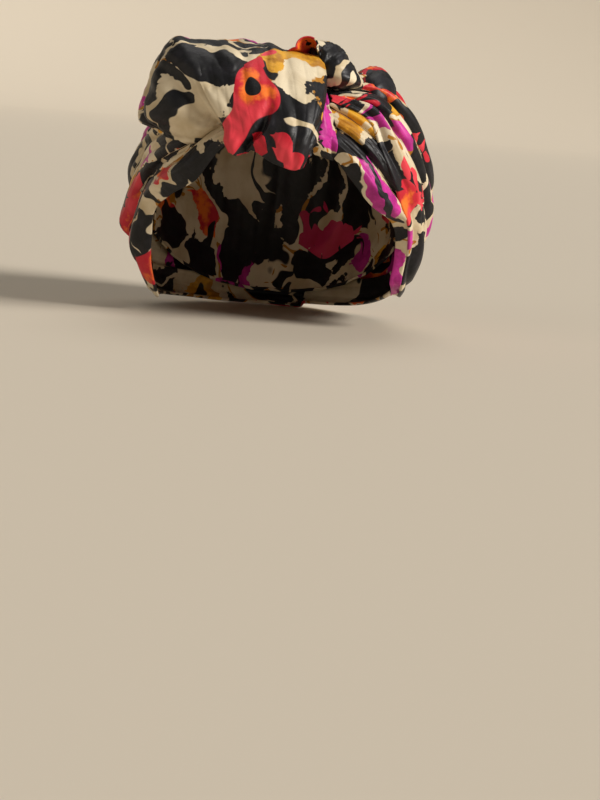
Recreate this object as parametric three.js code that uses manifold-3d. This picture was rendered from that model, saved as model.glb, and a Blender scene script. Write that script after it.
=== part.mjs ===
// A head scarf tied as a turban: a crown wrap, side wraps that run from the brow round to the nape,
// and a knot at the top of the brow with its puffs, rolls and the tail that hangs over the forehead.
// Millimetres, +Z up, the wearer faces -Y, so the wearer's left is +X.
// The origin is the crown seat: the point inside the crown where the top of the head rests.
import * as THREE from "three";
import { mergeVertices } from "three/addons/utils/BufferGeometryUtils.js";
import Module from "manifold-3d";

const wasm = await Module();
wasm.setup();

// Driving sizes.
const WALL = 1.4; // thickness of the cloth walls
const GAP = 0.5; // clearance between one layer and the next
const HEM_LIFT = 3; // height of a wrap's free edges over the head
const HEAD = {
  centre: new THREE.Vector3(0, 2, -75), // on the widest level of the head
  halfWidth: 77,
  front: 92,
  back: 98,
  up: 75,
  down: 105,
  power: 2.25, // fuller than an ellipsoid
};

// ---------------------------------------------------------------- small mathematics

const degrees = (angle) => (angle * Math.PI) / 180;
const lerp = THREE.MathUtils.lerp;
const clamp = THREE.MathUtils.clamp;
const smooth = (x, from, to) => THREE.MathUtils.smoothstep(x, from, to);

// One column of a table of rows spaced evenly over 0 to 1, as a smooth curve through the rows.
function column(rows, key, t) {
  const place = clamp(t, 0, 1) * (rows.length - 1);
  const i = Math.min(Math.floor(place), rows.length - 2);
  const x = place - i;
  const at = (k) => rows[clamp(k, 0, rows.length - 1)][key];
  const [a, b, c, d] = [at(i - 1), at(i), at(i + 1), at(i + 2)];
  return b + 0.5 * x * (c - a + x * (2 * a - 5 * b + 4 * c - d + x * (3 * (b - c) + d - a)));
}

// Direction from an azimuth (0 is the front, positive to the wearer's left) and an elevation, in degrees.
function direction(azimuth, elevation) {
  const [a, e] = [degrees(azimuth), degrees(elevation)];
  return new THREE.Vector3(Math.sin(a) * Math.cos(e), -Math.cos(a) * Math.cos(e), Math.sin(e));
}

// Radius of the head form from its centre, along a unit direction.
function headRadius(d) {
  const sum =
    Math.pow(Math.abs(d.x) / HEAD.halfWidth, HEAD.power) +
    Math.pow(Math.abs(d.y) / (d.y < 0 ? HEAD.front : HEAD.back), HEAD.power) +
    Math.pow(Math.abs(d.z) / (d.z > 0 ? HEAD.up : HEAD.down), HEAD.power);
  return Math.pow(sum, -1 / HEAD.power);
}

// A point that stands off the head form by a height, along a direction from the head's centre.
const onHead = (d, height) => d.clone().multiplyScalar(headRadius(d) + height).add(HEAD.centre);

// ---------------------------------------------------------------- cloth walls

// Unit normals of a grid of points, on the side where rows x columns is right-handed.
function gridNormals(grid) {
  const [last, end] = [grid.length - 1, grid[0].length - 1];
  return grid.map((row, i) =>
    row.map((_, j) => {
      const along = grid[Math.min(i + 1, last)][j].clone().sub(grid[Math.max(i - 1, 0)][j]);
      const across = row[Math.min(j + 1, end)].clone().sub(row[Math.max(j - 1, 0)]);
      return along.cross(across).normalize();
    }),
  );
}

// Six times the volume inside a mesh, below zero where its faces look inwards.
function signedVolume(positions, faces) {
  const corner = (k) => new THREE.Vector3().fromArray(positions, 3 * faces[k]);
  let sum = 0;
  for (let k = 0; k < faces.length; k += 3) sum += corner(k).dot(corner(k + 1).cross(corner(k + 2)));
  return sum;
}

// A closed mesh between two grids of the same size, with a rim that joins them; its faces look out.
function closedBetween(outer, inner) {
  const [rows, columns] = [outer.length, outer[0].length];
  const positions = [...outer.flat(), ...inner.flat()].flatMap((p) => [p.x, p.y, p.z]);
  const out = (i, j) => i * columns + j;
  const into = (i, j) => rows * columns + out(i, j);
  const faces = [];
  const quad = (a, b, c, d) => faces.push(a, b, c, a, c, d);
  for (let i = 0; i < rows - 1; i++)
    for (let j = 0; j < columns - 1; j++) {
      quad(out(i, j), out(i + 1, j), out(i + 1, j + 1), out(i, j + 1));
      quad(into(i, j), into(i, j + 1), into(i + 1, j + 1), into(i + 1, j));
    }
  for (let i = 0; i < rows - 1; i++) {
    quad(out(i, 0), into(i, 0), into(i + 1, 0), out(i + 1, 0));
    quad(out(i + 1, columns - 1), into(i + 1, columns - 1), into(i, columns - 1), out(i, columns - 1));
  }
  for (let j = 0; j < columns - 1; j++) {
    quad(out(0, j + 1), into(0, j + 1), into(0, j), out(0, j));
    quad(out(rows - 1, j), into(rows - 1, j), into(rows - 1, j + 1), out(rows - 1, j + 1));
  }
  if (signedVolume(positions, faces) < 0) faces.reverse();
  const geometry = new THREE.BufferGeometry();
  geometry.setAttribute("position", new THREE.Float32BufferAttribute(positions, 3));
  geometry.setIndex(faces);
  return geometry;
}

// The inner side of a wall, straight behind its outer one towards a centre.
function innerTowards(centre, outer) {
  const normals = gridNormals(outer);
  return outer.map((row, i) =>
    row.map((p, j) => {
      const ray = p.clone().sub(centre).normalize();
      const facing = Math.max(Math.abs(ray.dot(normals[i][j])), 0.6);
      return p.clone().addScaledVector(ray, -WALL / facing);
    }),
  );
}

// A wall whose inner side lies behind the outer one along its normals.
function wallBehind(outer) {
  const normals = gridNormals(outer);
  const inner = outer.map((row, i) => row.map((p, j) => p.clone().addScaledVector(normals[i][j], -WALL)));
  return closedBetween(outer, inner);
}

function solidOf(geometry) {
  const merged = mergeVertices(geometry, 1e-4);
  return new wasm.Manifold(
    new wasm.Mesh({
      numProp: 3,
      vertProperties: merged.attributes.position.array,
      triVerts: new Uint32Array(merged.index.array),
    }),
  );
}

function geometryOf(solid) {
  const mesh = solid.getMesh();
  const geometry = new THREE.BufferGeometry();
  geometry.setAttribute("position", new THREE.BufferAttribute(Float32Array.from(mesh.vertProperties), 3));
  geometry.setIndex(new THREE.BufferAttribute(Uint32Array.from(mesh.triVerts), 1));
  return geometry;
}

// The space inside a dome's outer grid, one gap larger.
function filled(centre, outer) {
  const raised = outer.map((row) => row.map((p) => p.clone().add(p.clone().sub(centre).setLength(GAP))));
  return solidOf(closedBetween(raised, outer.map((row) => row.map((p) => p.clone().lerp(centre, 0.8)))));
}

// Everything under an outer grid, from a gap above it down towards the head's centre.
function under(outer, gap) {
  const raised = outer.map((row) =>
    row.map((p) => p.clone().add(p.clone().sub(HEAD.centre).setLength(gap))),
  );
  const core = outer.map((row) => row.map((p) => p.clone().lerp(HEAD.centre, 0.7)));
  return solidOf(closedBetween(raised, core));
}

// ---------------------------------------------------------------- wraps that lie on the head

// Where the columns of a pleated wrap run: four to a pleat, from one valley over the ridge to the next.
const PLEAT_STEPS = [0, 0.16, 0.5, 0.84];

// Height of a pleat across its own width: a round ridge with a sharp valley at each side.
const ridge = (x) => Math.pow(4 * x * (1 - x), 0.62);

// How a wrap's height falls to its free edges, across the wrap: low at 0 and 1, full between.
function edgeFall(w, low, high) {
  return Math.pow(smooth(w, -0.02, low) * smooth(1 - w, -0.02, high), 0.55);
}

// The grid of a wrap: rows along it and columns across it, from its low edge to its high one.
function wrapGrid(wrap, rowCount) {
  const folds = wrap.folds;
  const columns = [];
  for (let k = 0; k < folds.length - 1; k++) for (const x of PLEAT_STEPS) columns.push([k, x]);
  columns.push([folds.length - 2, 1]);
  return Array.from({ length: rowCount + 1 }, (_, i) => {
    const s = i / rowCount;
    return columns.map(([k, x]) => {
      const from = lerp(folds[k].start, folds[k].end, s);
      const to = lerp(folds[k + 1].start, folds[k + 1].end, s);
      return wrapPoint(wrap, s, lerp(from, to, x), ridge(x) * folds[k].swell);
    });
  });
}

function wrapPoint(wrap, s, w, swell) {
  const of = (key) => column(wrap.stations, key, s);
  const d = direction(
    wrap.side * lerp(of("lowAzimuth"), of("highAzimuth"), w),
    lerp(of("lowElevation"), of("highElevation"), w),
  );
  const full = of("lift") - of("pleat") * (1 - swell);
  return onHead(d, lerp(HEM_LIFT, Math.max(full, HEM_LIFT), edgeFall(w, 0.14, 0.1)));
}

// The wearer's right wrap, from beneath the knot over the temple, in front of the ear and round the nape.
const RIGHT_WRAP = {
  side: -1,
  stations: [
    { lowAzimuth: 4, lowElevation: 26, highAzimuth: 4, highElevation: 50, lift: 6.0, pleat: 1.0 },
    { lowAzimuth: 20, lowElevation: 20, highAzimuth: 28, highElevation: 50, lift: 8.5, pleat: 3.5 },
    { lowAzimuth: 30, lowElevation: 6, highAzimuth: 55, highElevation: 49, lift: 9.5, pleat: 4.5 },
    { lowAzimuth: 43, lowElevation: 0, highAzimuth: 78, highElevation: 45, lift: 8.0, pleat: 4.5 },
    { lowAzimuth: 55, lowElevation: -7, highAzimuth: 96, highElevation: 38, lift: 10.5, pleat: 5.5 },
    { lowAzimuth: 60, lowElevation: -24, highAzimuth: 112, highElevation: 31, lift: 16.5, pleat: 6.0 },
    { lowAzimuth: 76, lowElevation: -42, highAzimuth: 128, highElevation: 24, lift: 10.5, pleat: 4.0 },
    { lowAzimuth: 110, lowElevation: -43, highAzimuth: 146, highElevation: 14, lift: 8.5, pleat: 3.0 },
    { lowAzimuth: 150, lowElevation: -42, highAzimuth: 168, highElevation: 6, lift: 8.0, pleat: 1.8 },
    { lowAzimuth: 194, lowElevation: -41, highAzimuth: 194, highElevation: 2, lift: 7.0, pleat: 1.0 },
  ],
  folds: [
    { start: 0, end: 0, swell: 0.9 },
    { start: 0.24, end: 0.2, swell: 1.0 },
    { start: 0.5, end: 0.46, swell: 0.8 },
    { start: 0.76, end: 0.72, swell: 0.5 },
    { start: 1, end: 1, swell: 0 },
  ],
};

// The wearer's left front wrap: the flat pleats between the knot and the temple.
const LEFT_FRONT_WRAP = {
  side: 1,
  stations: [
    { lowAzimuth: 4, lowElevation: 26, highAzimuth: 6, highElevation: 48, lift: 6.0, pleat: 1.0 },
    { lowAzimuth: 17, lowElevation: 19, highAzimuth: 30, highElevation: 44, lift: 9.0, pleat: 4.0 },
    { lowAzimuth: 26, lowElevation: 10.5, highAzimuth: 45, highElevation: 36, lift: 11.0, pleat: 5.0 },
    { lowAzimuth: 36, lowElevation: 2, highAzimuth: 56, highElevation: 24, lift: 11.0, pleat: 5.0 },
    { lowAzimuth: 50, lowElevation: -5, highAzimuth: 68, highElevation: 10, lift: 10.0, pleat: 4.0 },
    { lowAzimuth: 58, lowElevation: -17, highAzimuth: 80, highElevation: -4, lift: 8.0, pleat: 3.0 },
    { lowAzimuth: 63, lowElevation: -31, highAzimuth: 92, highElevation: -12, lift: 7.0, pleat: 2.0 },
    { lowAzimuth: 82, lowElevation: -39, highAzimuth: 108, highElevation: -20, lift: 6.0, pleat: 1.0 },
  ],
  folds: [
    { start: 0, end: 0, swell: 1.0 },
    { start: 0.34, end: 0.34, swell: 0.85 },
    { start: 0.58, end: 0.62, swell: 0.95 },
    { start: 1, end: 1, swell: 0 },
  ],
};

// The wearer's left rear wrap: deep pleats from under the left puff over the side of the head to the nape.
const LEFT_REAR_WRAP = {
  side: 1,
  stations: [
    { lowAzimuth: 20, lowElevation: 38, highAzimuth: 22, highElevation: 56, lift: 7.0, pleat: 0.5 },
    { lowAzimuth: 34, lowElevation: 32, highAzimuth: 56, highElevation: 58, lift: 15.0, pleat: 5.0 },
    { lowAzimuth: 39, lowElevation: 16, highAzimuth: 84, highElevation: 54, lift: 16.0, pleat: 7.0 },
    { lowAzimuth: 50, lowElevation: 0, highAzimuth: 104, highElevation: 46, lift: 16.0, pleat: 7.0 },
    { lowAzimuth: 60, lowElevation: -15, highAzimuth: 120, highElevation: 38, lift: 18.0, pleat: 7.0 },
    { lowAzimuth: 68, lowElevation: -33, highAzimuth: 134, highElevation: 30, lift: 17.5, pleat: 5.5 },
    { lowAzimuth: 92, lowElevation: -40, highAzimuth: 148, highElevation: 22, lift: 11.5, pleat: 4.0 },
    { lowAzimuth: 126, lowElevation: -41, highAzimuth: 166, highElevation: 14, lift: 11.0, pleat: 3.0 },
    { lowAzimuth: 160, lowElevation: -40, highAzimuth: 182, highElevation: 8, lift: 10.0, pleat: 2.0 },
    { lowAzimuth: 194, lowElevation: -39, highAzimuth: 196, highElevation: 3, lift: 10.0, pleat: 1.0 },
  ],
  folds: [
    { start: 0, end: 0, swell: 0.9 },
    { start: 0.22, end: 0.22, swell: 0.85 },
    { start: 0.46, end: 0.44, swell: 1.0 },
    { start: 0.74, end: 0.7, swell: 0.8 },
    { start: 1, end: 1, swell: 0 },
  ],
};

// ---------------------------------------------------------------- crown wrap

// Rows run from the knot over the top to the nape; pitch is the angle up from the front, spread the
// angle that the cloth reaches to each side, lift its height on the head and pleat its gathers' depth.
const CROWN_ROWS = [
  { pitch: 44, spread: 34, lift: 4.2, pleat: 1.2 },
  { pitch: 62, spread: 48, lift: 4.6, pleat: 1.6 },
  { pitch: 82, spread: 55, lift: 5.6, pleat: 2.2 },
  { pitch: 104, spread: 58, lift: 6.2, pleat: 2.2 },
  { pitch: 126, spread: 59, lift: 6.0, pleat: 1.8 },
  { pitch: 150, spread: 60, lift: 5.0, pleat: 1.2 },
  { pitch: 176, spread: 62, lift: 4.2, pleat: 0.8 },
  { pitch: 198, spread: 60, lift: 3.8, pleat: 0.4 },
  { pitch: 216, spread: 56, lift: 3.6, pleat: 0.2 },
];
const CROWN_GATHERS = 6;
const CROWN_EDGE_LIFT = 3.6; // where the side wraps cover it

function crownPoint(s, w, swell) {
  const pitch = degrees(column(CROWN_ROWS, "pitch", s));
  const yaw = degrees(column(CROWN_ROWS, "spread", s)) * (2 * w - 1);
  const d = new THREE.Vector3(
    Math.sin(yaw),
    -Math.cos(yaw) * Math.cos(pitch),
    Math.cos(yaw) * Math.sin(pitch),
  );
  const full = column(CROWN_ROWS, "lift", s) - column(CROWN_ROWS, "pleat", s) * (1 - swell);
  const inside = Math.sqrt(smooth(w, 0, 0.2) * smooth(1 - w, 0, 0.2));
  return onHead(d, lerp(Math.min(full, CROWN_EDGE_LIFT), Math.max(full, WALL + 0.6), inside));
}

function crownGrid(rowCount) {
  const steps = CROWN_GATHERS * 4;
  return Array.from({ length: rowCount + 1 }, (_, i) =>
    Array.from({ length: steps + 1 }, (_, j) => crownPoint(i / rowCount, j / steps, ridge((j % 4) / 4))),
  );
}

// ---------------------------------------------------------------- puffs

// A square patch spread over a disc, so that a dome has no pole.
const discX = (u, v) => u * Math.sqrt(1 - (v * v) / 2);

// A closed outline's reach at an angle, as a smooth curve through rows of angle and reach.
function reachAt(outline, angle) {
  const turn = ((angle % 360) + 360) % 360;
  const count = outline.length;
  let i = outline.findIndex((row) => row.angle > turn) - 1;
  if (i < 0) i = turn < outline[0].angle ? -1 : count - 1;
  const row = (k) => {
    const lap = Math.floor(k / count);
    const { angle: base, reach } = outline[k - lap * count];
    return { angle: base + 360 * lap, reach };
  };
  const [a, b, c, d] = [row(i - 1), row(i), row(i + 1), row(i + 2)];
  const span = c.angle - b.angle;
  const slope = (from, to) => ((to.reach - from.reach) / (to.angle - from.angle)) * span;
  const x = (turn - b.angle) / span;
  const [m0, m1] = [slope(a, c), slope(b, d)];
  const rest = 3 * (c.reach - b.reach) - 2 * m0 - m1 + x * (m0 + m1 - 2 * (c.reach - b.reach));
  return b.reach + x * (m0 + x * rest);
}

// A dome of cloth round its own centre, open towards the head. Its outline is the one seen from the
// front, at angles from the wearer's left towards the top; its creases run out of its pinch.
function puffGrid(puff, count) {
  const pole = puff.pole.clone().normalize();
  const side = new THREE.Vector3(0, 0, 1).cross(pole).normalize();
  const top = pole.clone().cross(side);
  const pinch = puff.pinch.clone().sub(puff.centre).normalize();
  const pinchSide = pinch.clone().cross(pole).normalize();
  const pinchTop = pinchSide.clone().cross(pinch);
  return Array.from({ length: count + 1 }, (_, i) =>
    Array.from({ length: count + 1 }, (_, j) => {
      const [u, v] = [(2 * i) / count - 1, (2 * j) / count - 1];
      const [x, y] = [discX(u, v), discX(v, u)];
      const angle = degrees(puff.spread) * Math.hypot(x, y);
      const turn = Math.atan2(y, x);
      const d = pole
        .clone()
        .multiplyScalar(Math.cos(angle))
        .addScaledVector(side, Math.sin(angle) * Math.cos(turn))
        .addScaledVector(top, Math.sin(angle) * Math.sin(turn));
      const reach = reachAt(puff.outline, (Math.atan2(d.z, d.x) * 180) / Math.PI);
      const depth = d.y < 0 ? puff.front : puff.back;
      const sum = (Math.hypot(d.x, d.z) / reach) ** puff.power + Math.abs(d.y / depth) ** puff.power;
      const near = Math.acos(clamp(d.dot(pinch), -1, 1));
      const round = (Math.atan2(d.dot(pinchSide), d.dot(pinchTop)) * 180) / Math.PI;
      let cut = puff.pinchDepth * Math.exp(-((near / 0.45) ** 2));
      for (const crease of puff.creases) {
        const away = ((round - crease.round + 540) % 360) - 180;
        const lane = Math.exp(-((away / crease.width) ** 2));
        cut += crease.depth * lane * smooth(near, 0.1, 0.5) * smooth(crease.length - near, 0, 0.8);
      }
      return d.multiplyScalar(sum ** (-1 / puff.power) - cut).add(puff.centre);
    }),
  );
}

const RIGHT_PUFF = {
  centre: new THREE.Vector3(-38, -50, -18),
  front: 44,
  back: 44,
  power: 2.5,
  outline: [
    { angle: 0, reach: 40 },
    { angle: 50, reach: 36 },
    { angle: 75, reach: 31 },
    { angle: 100, reach: 29.5 },
    { angle: 118, reach: 33.5 },
    { angle: 130, reach: 38.5 },
    { angle: 152, reach: 39.5 },
    { angle: 176, reach: 41 },
    { angle: 192, reach: 45 },
    { angle: 202, reach: 46.5 },
    { angle: 211, reach: 41 },
    { angle: 225, reach: 37 },
    { angle: 245, reach: 35 },
    { angle: 272, reach: 30 },
    { angle: 315, reach: 32 },
  ],
  pole: new THREE.Vector3(-0.4, -0.6, 0.7),
  spread: 112,
  pinch: new THREE.Vector3(-24, -92, -46),
  pinchDepth: 8,
  creases: [
    { round: -38, width: 12, depth: 5, length: 1.9 },
    { round: -4, width: 12, depth: 3.5, length: 1.6 },
    { round: 30, width: 12, depth: 4, length: 1.5 },
  ],
};

const LEFT_PUFF = {
  centre: new THREE.Vector3(26, -42, 0),
  front: 34,
  back: 32,
  power: 2.3,
  outline: [
    { angle: 10, reach: 14 },
    { angle: 40, reach: 14.5 },
    { angle: 67, reach: 19 },
    { angle: 105, reach: 22 },
    { angle: 124, reach: 22.5 },
    { angle: 180, reach: 17 },
    { angle: 225, reach: 13 },
    { angle: 262, reach: 10.5 },
    { angle: 320, reach: 14 },
    { angle: 340, reach: 19 },
  ],
  pole: new THREE.Vector3(0.1, -0.6, 0.8),
  spread: 118,
  pinch: new THREE.Vector3(16, -76, -6),
  pinchDepth: 3,
  creases: [{ round: 30, width: 12, depth: 2, length: 1.4 }],
};

const SIDE_PUFF = {
  centre: new THREE.Vector3(49, -16, -11),
  front: 32,
  back: 28,
  power: 2.3,
  outline: [
    { angle: 0, reach: 15 },
    { angle: 44, reach: 16 },
    { angle: 64, reach: 17 },
    { angle: 82, reach: 17 },
    { angle: 124, reach: 15 },
    { angle: 180, reach: 14 },
    { angle: 270, reach: 14 },
  ],
  pole: new THREE.Vector3(0.3, -0.3, 0.9),
  spread: 108,
  pinch: new THREE.Vector3(36, -44, -8),
  pinchDepth: 2,
  creases: [{ round: 0, width: 14, depth: 2, length: 1.5 }],
};

// ---------------------------------------------------------------- knot, tail and roll

// Height of the highest of some meshes over the head's centre, along a direction; 0 where it meets none.
function heightOver(meshes, d) {
  const hits = new THREE.Raycaster(HEAD.centre, d).intersectObjects(meshes, false);
  return hits.length ? hits[hits.length - 1].distance : 0;
}

// A point's arm from the head's centre, made as long as a length at least.
function reachingTo(p, length) {
  const arm = p.clone().sub(HEAD.centre);
  return arm.setLength(Math.max(arm.length(), length)).add(HEAD.centre);
}

// A grid lifted clear of what lies beneath it, at its points and half way to their neighbours.
function restOn(meshes, grid) {
  const [last, end] = [grid.length - 1, grid[0].length - 1];
  return grid.map((row, i) =>
    row.map((p, j) => {
      let highest = 0;
      for (const down of [-1, 0, 1])
        for (const over of [-1, 0, 1]) {
          const near = grid[clamp(i + down, 0, last)][clamp(j + over, 0, end)];
          const d = p.clone().add(near).multiplyScalar(0.5).sub(HEAD.centre).normalize();
          highest = Math.max(highest, heightOver(meshes, d));
        }
      return reachingTo(p, highest + GAP);
    }),
  );
}

// The two faces of a cloth layer that keeps its own form where that is free and rests on others elsewhere.
function layOver(meshes, form) {
  const inner = restOn(meshes, innerTowards(HEAD.centre, form));
  const outer = form.map((row, i) =>
    row.map((p, j) => reachingTo(p, inner[i][j].distanceTo(HEAD.centre) + WALL)),
  );
  return { outer, inner };
}

// The wound bundle under the tail: upright folds between the two side wraps.
const KNOT = { azimuth: [-17, 18.5], elevation: [17, 45], rise: 19, seat: 3, folds: 4, edge: 0.6 };

function knotGrid(rowCount, columnCount, height) {
  return Array.from({ length: rowCount + 1 }, (_, i) =>
    Array.from({ length: columnCount + 1 }, (_, j) => {
      const [s, w] = [i / rowCount, j / columnCount];
      const d = direction(lerp(...KNOT.azimuth, w), lerp(...KNOT.elevation, s));
      return onHead(d, height(s, w));
    }),
  );
}

function knotSwell(s, w) {
  const across = Math.pow(4 * w * (1 - w), 0.35);
  const along = Math.pow(Math.sin(Math.PI * lerp(0.1, 0.9, s)), 0.6);
  const fold = 0.8 + 0.2 * Math.pow(Math.abs(Math.sin(Math.PI * KNOT.folds * w)), 0.6);
  return KNOT.rise * lerp(KNOT.edge, 1, across * along * fold);
}

// A sheet through a table of three lines that run along it: its two edges and the ridge of its fold.
// bow is how far it stands out between the right edge and the ridge.
function tailGrid(rows, hem, rowCount, frontColumns, foldColumns) {
  const guide = (key, s) => {
    const line = rows.map((row) => row[key]);
    return new THREE.Vector3(column(line, 0, s), column(line, 1, s), column(line, 2, s));
  };
  return Array.from({ length: rowCount + 1 }, (_, i) => {
    const s = i / rowCount;
    const [right, ridgeLine, left] = [guide("right", s), guide("ridge", s), guide("left", s)];
    const out = right.clone().add(ridgeLine).multiplyScalar(0.5).sub(HEAD.centre).normalize();
    const drop = smooth(s, 0.75, 1);
    const points = [];
    for (let j = 0; j <= frontColumns; j++) {
      const w = j / frontColumns;
      const p = right.clone().lerp(ridgeLine, w);
      p.addScaledVector(out, column(rows, "bow", s) * Math.pow(4 * w * (1 - w), 0.8));
      p.z += drop * column(hem, "rise", w);
      points.push(p);
    }
    for (let j = 1; j <= foldColumns; j++) points.push(ridgeLine.clone().lerp(left, j / foldColumns));
    return points;
  });
}

// The tail: from the crown over the crest, down across the knot to the brow, where its two lobes hang.
const TAIL_ROWS = [
  { right: [-30, -8, 5], ridge: [0, -8, 6], left: [4, -8, 6], bow: 0 },
  { right: [-45, -32, 10], ridge: [8, -34, 9], left: [13, -34, 6], bow: 0.5 },
  { right: [-54, -58, 9.5], ridge: [15, -56, 9], left: [20, -52, 4], bow: 0.5 },
  { right: [-53, -80, 5], ridge: [19, -71, 6], left: [22, -66, -1], bow: 2 },
  { right: [-50, -92, -6], ridge: [20.5, -86, -6], left: [23, -80, -9], bow: 3 },
  { right: [-42, -98, -20], ridge: [18, -100, -20], left: [22, -94, -21], bow: 4 },
  { right: [-33, -101, -33], ridge: [15.5, -107, -33], left: [20, -100, -33], bow: 4 },
  { right: [-32, -102, -42], ridge: [13.5, -109, -43], left: [19, -101, -42], bow: 3 },
  { right: [-29, -100, -49], ridge: [12.5, -107, -53], left: [16, -100, -52], bow: 2 },
];
const TAIL_HEM = [0.5, 4.5, 4.7, 3.5, 1.2, -0.5, -1.2, -1.7, 0].map((rise) => ({ rise }));

// The roll at the crest: an open tube of cloth that lies front to back.
const ROLL = {
  radius: 5.2,
  front: new THREE.Vector3(11.5, -71, 14),
  back: new THREE.Vector3(19, -38, 10),
  open: 300, // degrees that the cloth reaches round; the rest is its open seam
};

function rollGrid(rowCount, columnCount) {
  const along = ROLL.back.clone().sub(ROLL.front);
  const side = along.clone().cross(new THREE.Vector3(0, 0, 1)).normalize();
  const top = side.clone().cross(along).normalize();
  return Array.from({ length: rowCount + 1 }, (_, i) => {
    const s = i / rowCount;
    const radius = ROLL.radius * lerp(1, 0.7, s);
    return Array.from({ length: columnCount + 1 }, (_, j) => {
      const turn = degrees(lerp(-ROLL.open / 2, ROLL.open / 2, j / columnCount));
      return ROLL.front
        .clone()
        .addScaledVector(along, s)
        .addScaledVector(side, -radius * Math.sin(turn))
        .addScaledVector(top, radius * Math.cos(turn));
    });
  });
}

// ---------------------------------------------------------------- assembly

const scarf = new THREE.Group();
scarf.name = "head_scarf";

function add(name, geometry, color) {
  const silk = { color, roughness: 0.55, metalness: 0 };
  const material = new THREE.MeshStandardMaterial({ ...silk, side: THREE.DoubleSide });
  const mesh = new THREE.Mesh(geometry, material);
  mesh.name = name;
  scarf.add(mesh);
  return mesh;
}

// The largest body of a geometry once the volumes are cut from it.
function trimmed(geometry, volumes) {
  const rest = volumes.reduce((solid, volume) => solid.subtract(volume), solidOf(geometry));
  const bodies = rest.decompose().sort((a, b) => b.volume() - a.volume());
  return geometryOf(bodies[0]);
}

const wraps = [];
const near = [];
const beneath = [];

// A cloth layer over the wraps so far; what still touches them between its points is cut back.
function addLayer(name, { outer, inner }, color) {
  wraps.push(add(name, trimmed(closedBetween(outer, inner), near), color));
  near.push(under(outer, GAP / 2));
  beneath.push(under(outer, GAP));
}
addLayer("crown_wrap", layOver(wraps, crownGrid(18)), 0xb7a487);
addLayer("right_wrap", layOver(wraps, wrapGrid(RIGHT_WRAP, 24)), 0x3a3a40);
addLayer("left_front_wrap", layOver(wraps, wrapGrid(LEFT_FRONT_WRAP, 18)), 0xc04ea0);
addLayer("left_rear_wrap", layOver(wraps, wrapGrid(LEFT_REAR_WRAP, 24)), 0xd0a030);

const knotInner = restOn(wraps, knotGrid(8, 16, () => KNOT.seat));
const knotOuter = knotGrid(8, 16, (s, w) => KNOT.seat + knotSwell(s, w)).map((row, i) =>
  row.map((p, j) => reachingTo(p, knotInner[i][j].distanceTo(HEAD.centre) + WALL)),
);
addLayer("knot", { outer: knotOuter, inner: knotInner }, 0xb03a90);

function addPuff(name, puff, count, color) {
  const outer = puffGrid(puff, count);
  const mesh = add(name, trimmed(closedBetween(outer, innerTowards(puff.centre, outer)), beneath), color);
  beneath.push(filled(puff.centre, outer));
  return mesh;
}
const rightPuff = addPuff("right_puff", RIGHT_PUFF, 18, 0xa89878);
addLayer("tail", layOver([...wraps, rightPuff], tailGrid(TAIL_ROWS, TAIL_HEM, 20, 10, 3)), 0xd05030);
addPuff("left_puff", LEFT_PUFF, 12, 0x26262a);
addPuff("side_puff", SIDE_PUFF, 10, 0xb03030);
add("crest_roll", trimmed(wallBehind(rollGrid(8, 12)), beneath), 0xa02020);

export default scarf;
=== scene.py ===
"""A printed silk head scarf tied as a turban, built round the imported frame.

The scarf's tables and functions work in millimetres, in the frame's axes: +Z up, the wearer faces -Y.
Meshes, the camera and the stage are in metres. A sheet of cloth starts as a grid of points, where s
runs along the sheet and w across it, both from 0 to 1. All noise is seeded.
"""

import math

import bpy
import numpy as np
from mathutils import Matrix, Vector
from mathutils.bvhtree import BVHTree


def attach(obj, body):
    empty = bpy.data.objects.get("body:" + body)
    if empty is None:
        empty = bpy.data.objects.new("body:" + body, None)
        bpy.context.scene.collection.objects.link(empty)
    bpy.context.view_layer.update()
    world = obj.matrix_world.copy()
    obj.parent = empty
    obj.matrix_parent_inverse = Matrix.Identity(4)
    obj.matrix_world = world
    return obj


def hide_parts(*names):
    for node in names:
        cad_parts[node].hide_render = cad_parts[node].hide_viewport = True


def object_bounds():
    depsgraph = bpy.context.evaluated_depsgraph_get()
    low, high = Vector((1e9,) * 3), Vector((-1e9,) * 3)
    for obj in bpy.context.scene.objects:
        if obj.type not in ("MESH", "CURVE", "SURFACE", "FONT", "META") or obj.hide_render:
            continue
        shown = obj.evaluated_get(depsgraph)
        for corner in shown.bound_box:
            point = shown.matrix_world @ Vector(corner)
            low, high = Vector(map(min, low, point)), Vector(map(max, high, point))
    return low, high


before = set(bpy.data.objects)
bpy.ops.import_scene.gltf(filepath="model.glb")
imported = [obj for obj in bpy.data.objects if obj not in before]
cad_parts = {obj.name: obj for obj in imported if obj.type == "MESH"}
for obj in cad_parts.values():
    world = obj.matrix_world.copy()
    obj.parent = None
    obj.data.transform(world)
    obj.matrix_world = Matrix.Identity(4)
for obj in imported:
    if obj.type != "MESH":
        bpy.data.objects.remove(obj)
cad_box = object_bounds()

MM = 0.001
CLOTH = 0.7  # thickness of the silk as built
GAP = 0.35  # clearance between one layer and the next


def add_object(name, data):
    made = bpy.data.objects.new(name, data)
    bpy.context.scene.collection.objects.link(made)
    return made


# --- camera

CAMERA_PLACE = (0.0, -1.2982, -0.012)
CAMERA_RIGHT = (0.9967, -0.0066, 0.0809)
CAMERA_UP = (-0.0792, 0.1403, 0.9869)
CAMERA_LENS, CAMERA_SENSOR, CAMERA_NEAREST = 98.2, 36, 0.05


def make_camera():
    data = bpy.data.cameras.new("camera")
    data.lens = CAMERA_LENS
    data.sensor_width = CAMERA_SENSOR
    data.clip_start = CAMERA_NEAREST
    camera = add_object("camera", data)
    right = Vector(CAMERA_RIGHT).normalized()
    up = (Vector(CAMERA_UP) - Vector(CAMERA_UP).dot(right) * right).normalized()
    back = right.cross(up)
    turn = Matrix((right, up, back)).transposed()
    camera.matrix_world = Matrix.Translation(CAMERA_PLACE) @ turn.to_4x4()
    bpy.context.scene.camera = camera
    bpy.context.scene.view_settings.view_transform = "Standard"


make_camera()

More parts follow.
